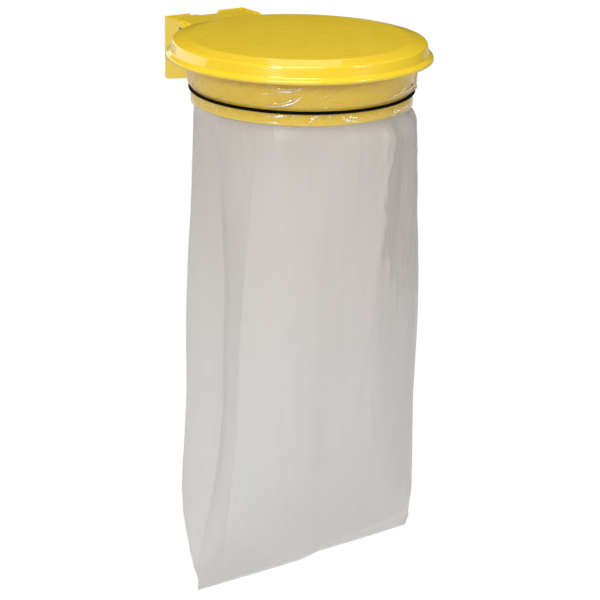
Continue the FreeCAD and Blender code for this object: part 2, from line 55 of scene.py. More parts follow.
# Materials
def new_material(name, color, roughness, **inputs):
    """A Principled material and the helpers that the rest of its nodes need."""
    mat = bpy.data.materials.new(name)
    mat.use_nodes = True
    nodes, links = mat.node_tree.nodes, mat.node_tree.links
    shader = nodes["Principled BSDF"]
    shader.inputs["Base Color"].default_value = (*color, 1.0)
    shader.inputs["Roughness"].default_value = roughness
    for key, value in inputs.items():
        shader.inputs[key.replace("_", " ")].default_value = value
    return mat, nodes, links, shader


def coordinates(nodes, links, scale=(1.0, 1.0, 1.0), turn=(0.0, 0.0, 0.0)):
    """Object coordinates, stretched and turned."""
    place = nodes.new("ShaderNodeTexCoord")
    mapping = nodes.new("ShaderNodeMapping")
    mapping.inputs["Scale"].default_value = scale
    mapping.inputs["Rotation"].default_value = turn
    links.new(place.outputs["Object"], mapping.inputs["Vector"])
    return mapping.outputs["Vector"]


def noise_texture(nodes, links, vector, scale, detail=3.0, roughness=0.5, distortion=0.0):
    """Noise from 0 to 1 in the coordinates given."""
    texture = nodes.new("ShaderNodeTexNoise")
    texture.inputs["Scale"].default_value = scale
    texture.inputs["Detail"].default_value = detail
    texture.inputs["Roughness"].default_value = roughness
    texture.inputs["Distortion"].default_value = distortion
    links.new(vector, texture.inputs["Vector"])
    return texture.outputs["Fac"]


def ramp(nodes, links, fac, stops):
    """Colour ramp with (place, colour) stops."""
    node = nodes.new("ShaderNodeValToRGB")
    while len(node.color_ramp.elements) < len(stops):
        node.color_ramp.elements.new(0.5)
    for element, (place, color) in zip(node.color_ramp.elements, stops):
        element.position = place
        element.color = (*color, 1.0)
    links.new(fac, node.inputs["Fac"])
    return node.outputs["Color"]


def remap(nodes, links, fac, low, high, to_low, to_high, smooth=True):
    """A value taken from one range to another, held at its ends."""
    node = nodes.new("ShaderNodeMapRange")
    node.interpolation_type = "SMOOTHSTEP" if smooth else "LINEAR"
    for name, value in (("From Min", low), ("From Max", high), ("To Min", to_low), ("To Max", to_high)):
        node.inputs[name].default_value = value
    links.new(fac, node.inputs["Value"])
    return node.outputs["Result"]


def math_node(nodes, links, operation, first, second):
    """Two values, each a number or another node's output, combined."""
    node = nodes.new("ShaderNodeMath")
    node.operation = operation
    for socket, value in zip(node.inputs, (first, second)):
        if isinstance(value, (int, float)):
            socket.default_value = value
        else:
            links.new(value, socket)
    return node.outputs["Value"]


def mix_color(nodes, links, fac, first, second, blend="MIX"):
    """A colour mixed with another; the factor and colours are values or other nodes' outputs."""
    node = nodes.new("ShaderNodeMix")
    node.data_type = "RGBA"
    node.blend_type = blend
    for name, value in (("Factor", fac), ("A", first), ("B", second)):
        if isinstance(value, bpy.types.NodeSocket):
            links.new(value, node.inputs[name])
        else:
            node.inputs[name].default_value = value
    return node.outputs["Result"]


def add_bump(nodes, links, shader, height, strength, distance):
    """Fine relief on a shader; gives the bump node back for other shaders."""
    bump = nodes.new("ShaderNodeBump")
    bump.inputs["Strength"].default_value = strength
    bump.inputs["Distance"].default_value = distance
    links.new(height, bump.inputs["Height"])
    links.new(bump.outputs["Normal"], shader.inputs["Normal"])
    return bump


def powder_coat():
    """Satin yellow powder coat: slight orange peel, faint colour drift and rubbed spots."""
    mat, nodes, links, shader = new_material("yellow_powder_coat", (0.80, 0.56, 0.03), 0.3,
                                             Coat_Weight=0.5, Coat_Roughness=0.045, Coat_IOR=2.0, IOR=1.46)
    place = coordinates(nodes, links)
    drift = noise_texture(nodes, links, place, 9.0, 4.0)
    color = ramp(nodes, links, drift, [(0.30, (0.810, 0.555, 0.018)), (0.55, (0.820, 0.570, 0.021)),
                                       (0.75, (0.830, 0.585, 0.025))])
    links.new(color, shader.inputs["Base Color"])
    cloud = noise_texture(nodes, links, place, 42.0, 5.0, 0.6)
    links.new(remap(nodes, links, cloud, 0.35, 0.75, 0.27, 0.33), shader.inputs["Roughness"])
    peel = noise_texture(nodes, links, place, 900.0, 2.0, 0.45)
    add_bump(nodes, links, shader, peel, 0.02, 0.0002)
    return mat


def zinc_plate():
    """Bright zinc with turning marks round the pin's axis and a little staining."""
    mat, nodes, links, shader = new_material("zinc_plate", (0.55, 0.55, 0.56), 0.32, Metallic=1.0)
    place = coordinates(nodes, links, (900.0, 60.0, 60.0))
    marks = noise_texture(nodes, links, place, 1.0, 4.0, 0.7)
    stain = noise_texture(nodes, links, coordinates(nodes, links), 260.0, 4.0)
    color = ramp(nodes, links, stain, [(0.30, (0.34, 0.33, 0.33)), (0.60, (0.60, 0.60, 0.61))])
    links.new(color, shader.inputs["Base Color"])
    links.new(remap(nodes, links, marks, 0.3, 0.7, 0.24, 0.45), shader.inputs["Roughness"])
    add_bump(nodes, links, shader, marks, 0.2, 0.0002)
    return mat


def black_polymer(name, grey, roughness, grain, shine=0.5):
    """Moulded black polymer or rubber with fine grain and dusty high spots."""
    mat, nodes, links, shader = new_material(name, (grey, grey, grey), roughness, Specular_IOR_Level=shine)
    place = coordinates(nodes, links)
    dust = noise_texture(nodes, links, place, 55.0, 5.0, 0.65)
    color = ramp(nodes, links, dust, [(0.35, (grey * 0.7, grey * 0.7, grey * 0.72)),
                                      (0.72, (grey * 2.1, grey * 2.0, grey * 1.9))])
    links.new(color, shader.inputs["Base Color"])
    fine = noise_texture(nodes, links, place, grain, 3.0, 0.6)
    dull = remap(nodes, links, fine, 0.3, 0.7, roughness - 0.08, roughness + 0.12)
    links.new(dull, shader.inputs["Roughness"])
    add_bump(nodes, links, shader, fine, 0.25, 0.0003)
    return mat


def clear_film():
    """Thin polythene: nearly clear where it lies on the band, milky where it hangs, glossy all over."""
    mat, nodes, links, shader = new_material("polythene_film", (0.60, 0.58, 0.56), 0.3,
                                             Specular_IOR_Level=0.2)
    place = nodes.new("ShaderNodeTexCoord")
    split = nodes.new("ShaderNodeSeparateXYZ")
    links.new(place.outputs["Object"], split.inputs["Vector"])
    hanging = remap(nodes, links, split.outputs["Z"], BAND_BOTTOM - 0.004, BAND_BOTTOM - 0.0005, 0.70, 0.05)
    drawn = noise_texture(nodes, links, coordinates(nodes, links, (7.0, 7.0, 0.9)), 1.0, 4.0, 0.5, 0.4)
    haze = remap(nodes, links, drawn, 0.3, 0.72, 0.93, 1.07)
    layers = nodes.new("ShaderNodeAttribute")
    layers.attribute_name = "doubling_and_shade"
    dense = math_node(nodes, links, "MULTIPLY", layers.outputs["Fac"], 0.16)
    single = math_node(nodes, links, "MULTIPLY", hanging, haze)
    body = math_node(nodes, links, "ADD", single, dense)
    edge = nodes.new("ShaderNodeLayerWeight")
    edge.inputs["Blend"].default_value = 0.35
    thick = remap(nodes, links, edge.outputs["Facing"], 0.38, 0.74, 0.0, 0.90)
    links.new(math_node(nodes, links, "MAXIMUM", body, thick), shader.inputs["Alpha"])
    tint = remap(nodes, links, split.outputs["Z"], -0.62, -0.08, 0.0, 1.0)
    milk = ramp(nodes, links, tint, [(0.0, (0.660, 0.643, 0.626)), (1.0, (0.590, 0.540, 0.500))])
    patches = noise_texture(nodes, links, coordinates(nodes, links, (1.0, 1.0, 0.5)), 9.0, 5.0, 0.6, 0.8)
    tints = ramp(nodes, links, patches, [(0.32, (1.0, 0.965, 0.970)), (0.50, (0.985, 0.985, 0.975)),
                                         (0.68, (0.955, 0.985, 0.975))])
    mottled = mix_color(nodes, links, 1.0, milk, tints, "MULTIPLY")
    # painted shade: the milky colour is darkened where the film lies doubled, over the gussets and the
    # right fold, and down a band at the front
    painted_shade_where_doubled = mix_color(nodes, links, layers.outputs["Fac"], mottled, (0.80, 0.785, 0.775, 1.0), "MULTIPLY")
    # painted reflection: over the band the film's colour turns orange, standing for the yellow band seen
    # through the film and reflected in it
    on_band = remap(nodes, links, split.outputs["Z"], BAND_BOTTOM - 0.003, BAND_BOTTOM, 0.0, 1.0)
    tone = mix_color(nodes, links, on_band, painted_shade_where_doubled, (0.84, 0.57, 0.22, 1.0))
    links.new(tone, shader.inputs["Base Color"])
    crinkle = noise_texture(nodes, links, coordinates(nodes, links, (1.0, 1.0, 0.5)), 70.0, 5.0, 0.6, 0.5)
    bump = add_bump(nodes, links, shader, crinkle, 0.16, 0.001)
    gloss = nodes.new("ShaderNodeBsdfGlossy")
    links.new(remap(nodes, links, on_band, 0.0, 1.0, 0.42, 0.11, smooth=False), gloss.inputs["Roughness"])
    links.new(bump.outputs["Normal"], gloss.inputs["Normal"])
    slant = nodes.new("ShaderNodeLayerWeight")
    slant.inputs["Blend"].default_value = 0.5
    links.new(bump.outputs["Normal"], slant.inputs["Normal"])
    glancing = math_node(nodes, links, "POWER", slant.outputs["Facing"], 5.0)
    mirror = remap(nodes, links, glancing, 0.0, 1.0, 0.05, 0.45, smooth=False)
    sheen = math_node(nodes, links, "MULTIPLY", mirror,
                      remap(nodes, links, on_band, 0.0, 1.0, 0.18, 1.0, smooth=False))
    skin = nodes.new("ShaderNodeMixShader")
    links.new(sheen, skin.inputs["Fac"])
    links.new(shader.outputs["BSDF"], skin.inputs[1])
    links.new(gloss.outputs["BSDF"], skin.inputs[2])
    links.new(skin.outputs["Shader"], nodes["Material Output"].inputs["Surface"])
    return mat


def film_crest_highlight():
    """Film doubled into a crest: whiter and glossier than the single film beside it; its near-white colour
    is partly painted highlight for the cuff's bright wrinkle streaks.
    """
    mat, nodes, links, shader = new_material("polythene_crest_highlight", (0.93, 0.90, 0.84), 0.17,
                                             Specular_IOR_Level=1.0)
    place = coordinates(nodes, links)
    broken = noise_texture(nodes, links, place, 160.0, 3.0, 0.6)
    links.new(remap(nodes, links, broken, 0.34, 0.56, 0.45, 1.0), shader.inputs["Alpha"])
    # painted highlight: the crest's near-white tone stands in part for the bright streaks of light on the
    # wrinkles
    tone = ramp(nodes, links, broken, [(0.3, (0.92, 0.86, 0.74)), (0.6, (0.98, 0.97, 0.94))])
    links.new(tone, shader.inputs["Base Color"])
    add_bump(nodes, links, shader, broken, 0.2, 0.0003)
    return mat


MATERIALS = {
    "yellow": powder_coat(),
    "zinc": zinc_plate(),
    "plastic": black_polymer("black_plastic", 0.022, 0.5, 1500.0),
    "rubber": black_polymer("black_rubber", 0.002, 0.6, 2200.0, 0.06),
    "film": clear_film(),
    "crest_highlight": film_crest_highlight(),
}

NODE_LOOKS = {
    "wall_bracket": "yellow", "support_band": "yellow", "lid_shell": "yellow", "lid_arm": "yellow",
    "hinge_pin": "zinc", "hinge_clip": "zinc", "hinge_washer_right": "plastic",
    "hinge_washer_left": "plastic", "elastic_cord": "rubber", "refuse_bag": "film"}

for node, look in NODE_LOOKS.items():
    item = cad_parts[node]
    item.data.materials.clear()
    item.data.materials.append(MATERIALS[look])


# The bag. Columns run round it, rows run along the film: from the cuff's hem outside the band, up over
# the band's top edge, down inside it, and on to the bottom seam.
COLUMNS = 600
HEM_ROWS = 82
OVER_ROWS = 6
INSIDE_ROWS = 5
HANG_ROWS = 66

# How much closer the columns stand on the side that faces the viewer
CROWDING = 0.36
# Gap between the film and the band's metal outside it, and round its curled edges
FILM_GAP = 0.0006
CURL_GAP = 0.0007
# The hem runs higher at the back, clear of the bracket's arms
REAR_HEM_RISE = 0.0175
# Where the front's left edge is creased, round the bag from its right side
LEFT_CREASE = math.pi + math.radians(30.0)
# Where the hanging film closes to its welded seam, and how far that seam steps at the gussets
SEAM_LEVEL = -0.886
SEAM_STEP = 0.003

# Level, half width, half depth, squareness, lean to the right, lean out from the wall, gusset depth
BAG_SECTIONS = [
    (-0.0640, 0.1665, 0.1665, 2.00, 0.0000, 0.0000, 0.000),
    (-0.0740, 0.1670, 0.1670, 2.00, 0.0000, 0.0000, 0.000),
    (-0.0820, 0.1740, 0.1740, 2.00, 0.0012, 0.0009, 0.000),
    (-0.0950, 0.1802, 0.1790, 2.00, 0.0041, 0.0029, 0.002),
    (-0.1250, 0.1816, 0.1800, 2.05, 0.0056, 0.0039, 0.007),
    (-0.1800, 0.1836, 0.1745, 2.15, 0.0065, 0.0046, 0.016),
    (-0.2600, 0.1842, 0.1690, 2.30, 0.0070, 0.0050, 0.025),
    (-0.3600, 0.1885, 0.1620, 2.45, 0.0074, 0.0052, 0.034),
    (-0.4700, 0.1915, 0.1530, 2.60, 0.0068, 0.0048, 0.036),
    (-0.5800, 0.1924, 0.1430, 2.75, 0.0065, 0.0046, 0.036),
    (-0.6700, 0.2011, 0.1330, 2.80, 0.0061, 0.0043, 0.036),
    (-0.7400, 0.2118, 0.1180, 2.75, 0.0065, 0.0046, 0.033),
    (-0.8000, 0.2238, 0.0900, 2.60, 0.0104, 0.0074, 0.024),
    (-0.8450, 0.2274, 0.0520, 2.40, 0.0160, 0.0113, 0.010),
    (-0.8700, 0.2235, 0.0220, 2.20, 0.0205, 0.0145, 0.002),
    (SEAM_LEVEL, 0.2200, 0.0025, 2.20, 0.0180, 0.0130, 0.000)]

# Folds of the surplus film, as in the CAD part: degrees round the bag from the right side, how far it
# moves round on its way down, half its width in degrees, height in millimetres, and the shares of the
# drop where it is fully formed and where it has run out
FOLD_DEPTH = 0.006
BAG_FOLDS = [
    (176.0, 45.0, 5.0, -0.6, 0.03, 0.17),
    (191.0, -48.0, 5.0, -0.7, 0.03, 0.17),
    (-118.0, 0.0, 9.0, -0.4, 0.06, 0.85),
    (-76.0, -12.0, 5.5, 0.6, 0.02, 0.34),
    (-64.0, -8.0, 6.5, -0.9, 0.02, 0.38),
    (-52.0, 0.0, 6.0, 0.5, 0.03, 0.32),
    (-38.0, 10.0, 6.0, -0.5, 0.03, 0.30),
    (-96.0, 32.0, 8.0, 0.5, 0.30, 0.85),
    (28.0, 6.0, 7.0, -0.5, 0.03, 0.30),
    (66.0, 8.0, 9.0, -0.5, 0.03, 0.40),
    (112.0, 6.0, 9.0, -0.5, 0.03, 0.36),
    (150.0, -6.0, 7.0, -0.5, 0.03, 0.30)]

# Left edge of the film that lies folded over at the right of the front: level, and degrees from the
# viewing side
FOLD_EDGE = [(-0.50, 76.0), (-0.36, 62.0), (-0.30, 51.0), (-0.22, 47.0), (-0.17, 48.0), (-0.12, 51.0),
             (-0.08, 54.0)]
# How far the middle of the gussets lies to the right, by level
BAG_LEAN = [(-0.88, 0.014), (-0.80, 0.007), (-0.13, 0.005), (-0.08, 0.0)]


def smooth_table(level):
    """Values of the bag's sections at these levels, on a smooth curve through the table."""
    table = np.array(BAG_SECTIONS)[::-1]
    levels = table[:, 0]
    spot = np.clip(np.searchsorted(levels, level) - 1, 0, len(levels) - 2)
    slopes = np.gradient(table[:, 1:], levels, axis=0)
    step = (levels[spot + 1] - levels[spot])[:, None]
    share = ((level - levels[spot]) / step[:, 0])[:, None]
    first, last = table[spot, 1:], table[spot + 1, 1:]
    low, high = slopes[spot] * step, slopes[spot + 1] * step
    square, cube = share ** 2, share ** 3
    return ((2 * cube - 3 * square + 1) * first + (cube - 2 * square + share) * low
            + (3 * square - 2 * cube) * last + (cube - square) * high)


def bell(value, centre, width):
    """1 at the centre, falling away on both sides over the width."""
    return np.exp(-((value - centre) / width) ** 2)


def turned(angle, centre):
    """Angle measured from a centre, -pi to pi."""
    return (angle - centre + math.pi) % (2 * math.pi) - math.pi


def fade(value, start, end):
    """0 before start, 1 after end, smooth between; works for falling ranges too."""
    share = np.clip((value - start) / (end - start), 0.0, 1.0)
    return share * share * (3 - 2 * share)


def gusset_span(drop):
    """Share of the bag's half depth that a gusset takes up, this far down from the band."""
    return 0.5 + 0.2 * drop ** 4


def ridged(points, scale, seed, octaves=4):
    """Ridged noise with sharp crests, for crumpled film."""
    out = np.empty(len(points))
    offset = Vector((seed * 7.31, seed * 3.17, seed * 1.73))
    for index, point in enumerate(points):
        out[index] = noise.ridged_multi_fractal(Vector(point * scale) + offset, 1.0, 2.1, octaves, 1.0, 2.0)
    return out - 1.0


def angle_from_view(angle):
    """Angle round the band measured from the side that faces the viewer, -pi to pi."""
    return turned(angle, FACING_ANGLE)


# Wrinkles of the cuff: points of a run as (degrees from the viewing side, level in mm), height and
# width in mm, and how strongly its crest is drawn out into a white line of painted highlight (0 for a soft
# fold)
CUFF_RUNS = [
    ([(-14, -13), (-11, -18), (-6, -18), (-2, -14), (1, -9)], 1.5, 1.6, 1.0),
    ([(-13, -9), (-11, -14), (-7, -15), (-3, -11)], 0.9, 1.0, 0.8),
    ([(-21, -23), (-17, -22), (-13, -22)], 1.0, 1.2, 0.6),
    ([(-19, -44), (-11, -41), (-4, -35), (-0, -25)], 1.7, 2.0, 1.0),
    ([(-16, -40), (-10, -37), (-4, -30), (-1, -24)], 1.0, 1.1, 0.8),
    ([(6, -37), (13, -34), (19, -36), (23, -45)], 1.0, 1.2, 0.0),
    ([(25, -44), (30, -30), (34, -13)], 1.1, 1.2, 0.0),
    ([(5, -30), (13, -23), (17, -16)], 0.9, 1.1, 0.25),
    ([(2, -20), (7, -14), (12, -6)], 0.9, 1.3, 0.2),
    ([(55, -35), (67, -34), (82, -30)], 1.6, 1.8, 0.9),
    ([(47, -39), (57, -34), (67, -24)], 1.2, 1.6, 0.7),
    ([(36, -38), (44, -30), (54, -13)], 1.0, 1.8, 0.0),
    ([(-63, -52), (-55, -25), (-45, -5)], 1.7, 2.6, 0.0),
    ([(-72, -52), (-63, -30), (-55, -14)], 1.7, 2.8, 0.0),
    ([(-54, -52), (-46, -30), (-36, -7)], 1.3, 2.8, 0.0),
    ([(-44, -50), (-36, -30), (-27, -10)], 0.8, 2.4, 0.0),
    ([(-19, -57), (-13, -58), (-7, -56)], 1.1, 1.3, 1.0),
    ([(-18, -66), (-14, -67), (-10, -67)], 1.0, 1.3, 0.9),
    ([(-5, -60), (-4, -55), (-2, -54)], 1.1, 0.9, 0.8),
    ([(3, -68), (6, -59), (8, -53)], 1.5, 1.3, 1.0),
    ([(9, -59), (8, -55), (10, -53)], 1.0, 0.9, 0.9),
    ([(13, -60), (14, -53), (15, -59)], 1.4, 1.2, 1.0),
    ([(11, -47), (12, -43), (13, -41)], 0.9, 0.9, 0.9),
    ([(3, -47), (3, -44), (4, -42)], 0.8, 0.8, 0.7),
    ([(20, -58), (23, -64), (31, -67)], 1.4, 1.5, 1.0),
    ([(23, -57), (27, -62), (34, -63)], 0.9, 1.0, 0.6),
    ([(54, -70), (57, -61), (61, -67)], 1.5, 1.5, 1.0),
    ([(52, -72), (54, -63), (56, -58)], 1.2, 1.2, 0.9),
    ([(60, -58), (65, -63), (71, -60)], 1.2, 1.2, 0.9),
    ([(67, -61), (77, -70)], 1.2, 1.2, 0.7),
    ([(72, -45), (80, -41), (88, -42)], 1.3, 1.4, 0.8),
    ([(-53, -50), (-49, -57), (-46, -64)], 1.2, 1.5, 0.5),
    ([(-67, -52), (-62, -57), (-58, -62)], 1.2, 1.5, 0.3),
    ([(-39, -54), (-35, -59), (-30, -63)], 1.0, 1.3, 0.2),
    ([(35, -58), (40, -63), (46, -57)], 0.9, 1.2, 0.3)]


def smooth_run(points, count=36):
    """A path near the points of a run with its corners softened, in mm round the band and up it."""
    path = np.array([(math.radians(a) * BAND_RADIUS * 1000, z) for a, z in points])
    known = np.arange(len(path))
    stops = np.linspace(0, len(path) - 1, count)
    curve = np.stack([np.interp(stops, known, path[:, 0]), np.interp(stops, known, path[:, 1])], 1)
    for _ in range(12):
        curve[1:-1] = (curve[:-2] + 2 * curve[1:-1] + curve[2:]) / 4
    return curve


def run_relief(around, level):
    """Height of the drawn wrinkles above the lying film."""
    total = np.zeros_like(level)
    for points, height, width, _ in CUFF_RUNS:
        curve = smooth_run(points)
        spots = np.stack([around.ravel() * BAND_RADIUS * 1000, level.ravel() * 1000], 1)
        near = (np.abs(spots - curve.mean(0)) < (60, 40)).all(1)
        if not near.any():
            continue
        gaps = np.linalg.norm(spots[near][:, None, :] - curve[None], axis=2)
        nearest = gaps.argmin(1)
        distance = gaps.min(1)
        taper = np.sin(math.pi * np.clip((nearest + 1) / (len(curve) + 1), 0, 1)) ** 0.6
        relief = np.zeros(len(spots))
        relief[near] = height * taper * np.exp(-(distance / (1.5 * width)) ** 2)
        total += relief.reshape(level.shape)
    return total / 1000


def cuff_relief(angle, level):
    """How far the cuff stands off the band outside it."""
    seen = angle_from_view(angle)
    rng = np.random.default_rng(11)
    sides = 1 - np.cos(seen) ** 2
    above = fade(level, CORD_LEVEL + 0.002, CORD_LEVEL + 0.0085)
    higher = fade(level, CORD_LEVEL + 0.008, CORD_LEVEL + 0.045)
    below = fade(level, CORD_LEVEL - 0.003, CORD_LEVEL - 0.014)
    # slack: the film stands off the band away from the cord, most at the sides
    total = above * (0.0020 + 0.0045 * sides) + higher * (0.0010 + 0.0010 * sides)
    total += above * 0.0008 * np.sin(3 * angle + 0.6) * np.sin(5 * angle + 2.0)
    total += below * (0.0008 + 0.0014 * sides)
    # soft slanting pleats of the film's surplus width
    for _ in range(34):
        centre = rng.uniform(-math.pi, math.pi)
        slant = rng.uniform(-0.5, 0.9)
        width = rng.uniform(0.012, 0.05)
        height = rng.uniform(0.0004, 0.0014)
        shifted = turned(angle, centre + slant * (level - CORD_LEVEL) / 0.1)
        total += height * above * np.exp(-(shifted / width) ** 2)
    # short fans that the cord gathers, above and below it
    for _ in range(170):
        centre = rng.uniform(-math.pi, math.pi)
        slant = rng.uniform(-0.9, 0.9)
        width = rng.uniform(0.006, 0.014)
        height = rng.uniform(0.0003, 0.0013)
        reach = rng.uniform(0.005, 0.018)
        upward = rng.random() < 0.5
        away = (level - CORD_LEVEL) if upward else (CORD_LEVEL - level)
        shifted = turned(angle, centre + slant * np.abs(level - CORD_LEVEL) * 4)
        shape = np.clip(away / 0.004, 0, 1) * np.exp(-np.clip(away, 0, None) / reach)
        total += height * shape * np.exp(-np.abs(shifted / width) ** 1.4)
    total += run_relief(seen, level) * np.clip(np.abs(level - CORD_LEVEL) / 0.004, 0, 1)
    press = bell(level, CORD_LEVEL, 0.0036)
    return total * (1 - press)


def cuff_rows():
    """Rows of points from the hem up the outside, over the top edge and down inside the band."""
    even = np.linspace(-math.pi, math.pi, COLUMNS, endpoint=False)
    angle = even - CROWDING * np.sin(even) + FACING_ANGLE
    rows = []
    outer = BAND_RADIUS + FILM_GAP
    rng = np.random.default_rng(5)
    hem = np.zeros(COLUMNS)
    for count in (3, 5, 9, 14, 23, 37):
        hem += rng.uniform(0.0002, 0.0006) * np.sin(count * angle + rng.uniform(0, 6.3))
    behind = fade(np.sin(angle), 0.42, 0.62)
    hem_level = BAND_BOTTOM - FILM_GAP + hem + behind * REAR_HEM_RISE
    top = BAND_TOP - BAND_CURL
    for row in range(HEM_ROWS):
        share = row / (HEM_ROWS - 1)
        level = hem_level + (top - hem_level) * share
        radius = outer + cuff_relief(angle, level) * fade(level, 0.022, 0.004) \
            + 0.0004 * fade(level, 0.004, 0.022)
        rows.append(np.stack([radius * np.cos(angle), radius * np.sin(angle), level], 1))
    roll = BAND_CURL + CURL_GAP
    for row in range(1, OVER_ROWS + 1):
        turn = math.pi * row / OVER_ROWS
        radius = BAND_RADIUS - BAND_CURL + roll * math.cos(turn)
        level = top + roll * math.sin(turn)
        rows.append(np.stack([radius * np.cos(angle), radius * np.sin(angle), np.full(COLUMNS, level)], 1))
    inner = BAND_RADIUS - 2 * BAND_CURL - CURL_GAP
    for row in range(1, INSIDE_ROWS + 1):
        share = row / (INSIDE_ROWS + 1)
        level = top + (BAG_SECTIONS[0][0] - top) * share
        slack = 0.002 * math.sin(math.pi * share)
        radius = inner - slack * (0.6 + 0.4 * np.sin(17 * angle + 1.0))
        rows.append(np.stack([radius * np.cos(angle), radius * np.sin(angle), np.full(COLUMNS, level)], 1))
    return angle, rows


def hanging_rows(angle):
    """Rows of points from the band's lower edge down to the bottom seam."""
    share = np.linspace(0, 1, HANG_ROWS)
    top, bottom = BAG_SECTIONS[0][0], BAG_SECTIONS[-1][0]
    level = top + (bottom - top) * (0.45 * share + 0.55 * share ** 2)
    values = smooth_table(level)
    beside = bell(turned(angle, LEFT_CREASE), 0.0, 0.5)
    crease = int(np.abs(turned(angle, LEFT_CREASE)).argmin())
    rng = np.random.default_rng(23)
    gathers = [(rng.uniform(-math.pi, math.pi), rng.uniform(0.012, 0.04), rng.uniform(0.0003, 0.0013),
                rng.uniform(0.02, 0.12), rng.uniform(-0.5, 0.5)) for _ in range(40)]
    long_folds = [(rng.uniform(-math.pi, math.pi), rng.uniform(0.02, 0.09), rng.uniform(0.0003, 0.0012),
                   rng.uniform(-0.35, 0.35), rng.uniform(0.1, 0.8), rng.uniform(0.2, 0.5))
                  for _ in range(30)]
    rows = []
    for depth, (half_x, half_y, square, right, out, gusset) in zip(level, values):
        power = 2.0 / square
        drop = (BAND_BOTTOM - depth) / (BAND_BOTTOM - BAG_BOTTOM)
        below = max(drop, 0.0)
        span = gusset_span(below)
        # the columns drift so that one of them follows the crease of the front's left edge
        round_at = angle + beside * turned(math.pi + math.asin(span ** (square / 2)), angle[crease])
        cos, sin = np.cos(round_at), np.sin(round_at)
        x = np.sign(cos) * np.abs(cos) ** power * half_x
        y = np.sign(sin) * np.abs(sin) ** power * half_y
        # side gussets fold inward along the middle of each side
        x -= np.sign(cos) * gusset * np.clip(1 - np.abs(y) / (span * half_y), 0, 1) * (np.abs(cos) > 0.3)
        relief = np.zeros(COLUMNS)
        for centre, drift, half_width, part, formed, ended in BAG_FOLDS:
            away = turned(round_at, math.radians(centre + drift * below)) / math.radians(half_width)
            strength = min(1.0, below / formed) * max(0.0, 1 - (below / ended) ** 2)
            relief += FOLD_DEPTH * part * strength * np.exp(-away ** 2)
        begun = float(fade(depth, -0.070, -0.095))
        ended = float(fade(depth, -0.884, -0.780))
        for centre, width, height, reach, slant in gathers:
            away = turned(round_at, centre + slant * drop) / width
            relief += begun * height * math.exp(-below / reach) * np.exp(-np.abs(away) ** 1.6)
        for centre, width, height, slant, middle, spread in long_folds:
            away = turned(round_at, centre + slant * drop) / width
            present = math.exp(-((drop - middle) / spread) ** 2)
            relief += begun * ended * height * present * np.exp(-away ** 2)
        relief[crease] += 0.0011 * begun * ended
        # the front hangs straight from the band, the sides swell out
        below_band = float(fade(depth, -0.072, -0.084) * fade(depth, -0.240, -0.110))
        relief -= 0.0050 * below_band * bell(angle_from_view(round_at), 0.0, 0.85)
        length = np.maximum(np.hypot(x, y), 1e-6)
        swell = 1 + relief * min(1.0, half_y / 0.06) / length
        # the welded seam steps a little where the two gussets meet in it
        step = SEAM_STEP * np.tanh((x - 0.006) / 0.011) * float(fade(depth, -0.800, -0.870))
        rows.append(np.stack([x * swell + right, y * swell - out, depth + step], 1))
    return rows


def grid_quads(count):
    """Quads of a tube with this many rows, without end caps."""
    index = np.arange(count * COLUMNS).reshape(count, COLUMNS)
    following = np.roll(index, -1, axis=1)
    return np.stack([index[:-1], following[:-1], following[1:], index[1:]], -1).reshape(-1, 4)[:, ::-1]


def crumple(points):
    """Fine crumpling of the hanging film, and how far the film lies doubled at each point, which also sets
    the film's painted shade.

    The surplus film at the right of the front lies folded over, with a jagged edge: it is pressed in a
    little behind a raised brim. The foot and the stretch under the band are crumpled too.
    """
    level = points[:, 2]
    hanging = fade(level, -0.076, -0.115)
    out = points[:, :2] - np.array(BAND_CENTRE)
    length = np.linalg.norm(out, axis=1)
    seen = angle_from_view(np.arctan2(out[:, 1], out[:, 0]))
    stretched = points * np.array([1.0, 1.0, 0.42])
    coarse = ridged(stretched, 11.0, 1, 3)
    fine = ridged(points, 34.0, 2, 3)
    jagged = ridged(points * np.array([1.0, 1.0, 0.6]), 19.0, 4, 3)
    edge = np.radians(np.interp(level, *zip(*FOLD_EDGE))) + 0.09 * jagged
    folded = fade(level, -0.44, -0.30) * fade(level, -0.078, -0.095)
    fold = fade(seen, edge - 0.02, edge + 0.05) * fade(seen, 1.75, 1.45) * folded
    brim = bell(seen, edge - 0.03, 0.045) * folded
    foot = bell(seen, math.radians(-62), 0.4) * fade(level, -0.55, -0.74)
    band = bell(level, -0.12, 0.06)
    amount = 0.0009 * coarse + (0.00025 + 0.0018 * fold + 0.0010 * foot + 0.0004 * band) * fine
    amount += 0.0012 * brim - 0.0036 * fold
    closing = fade(level, SEAM_LEVEL, -0.840)
    shift = amount * hanging * closing
    points[:, :2] += out / length[:, None] * shift[:, None]
    doubling_and_shade = doubled_film_and_shade(points, level, seen, fold)
    broken = 0.75 + 0.3 * (jagged + 0.3)
    return points, np.clip(doubling_and_shade * broken, 0, 1) * hanging


def doubled_film_and_shade(points, level, seen, fold):
    """How far the film lies doubled: in the folded part, over the gussets and along the front. This makes
    the film denser and darkens its colour as painted shade.
    """
    lean = np.interp(level, *zip(*BAG_LEAN))
    across, depth = points[:, 0] - BAND_CENTRE[0] - lean, points[:, 1] - BAND_CENTRE[1] + 0.7 * lean
    table = smooth_table(np.clip(level, BAG_SECTIONS[-1][0], BAG_SECTIONS[0][0]))
    share = np.clip((BAND_BOTTOM - level) / (BAND_BOTTOM - BAG_BOTTOM), 0, 1)
    inward = -depth / np.maximum(gusset_span(share) * table[:, 1], 1e-3)
    strip = fade(inward, 0.0, 0.12) * fade(inward, 1.03, 0.97)
    strip *= fade(level, -0.10, -0.30) * fade(level, -0.885, -0.72)
    left, right = strip * (across < 0), strip * (across > 0)
    middle = bell(seen, math.radians(14.0), np.interp(level, [-0.8, -0.1], [0.17, 0.09]))
    middle *= fade(level, -0.10, -0.30) * fade(level, -0.80, -0.60)
    return 0.95 * fold + 0.40 * left + 0.55 * right * fade(level, -0.30, -0.42) + 0.34 * middle


